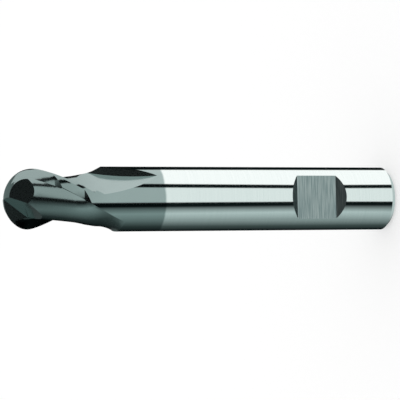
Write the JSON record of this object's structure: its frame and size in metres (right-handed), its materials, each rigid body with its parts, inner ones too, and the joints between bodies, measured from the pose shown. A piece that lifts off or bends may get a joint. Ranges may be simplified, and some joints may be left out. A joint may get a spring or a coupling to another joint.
{
  "type": "ball nose end mill",
  "caption": "Solid carbide ball nose end mill with helical flutes, a coated fluted head and a plain cylindrical shank with a clamping flat.",
  "frame": {"origin": "middle of the flat rear face of the shank, on the tool axis; the tool stands on that face", "axes": "+Z runs along the tool axis to the tip of the ball, -Y is the side of the clamping flat"},
  "size_m": [0.016, 0.016, 0.1],
  "materials": {
    "carbide": "ground, with a darker coated head"
  },
  "bodies": {
    "root": {"end_mill": "carbide"}
  },
  "joints": []
}
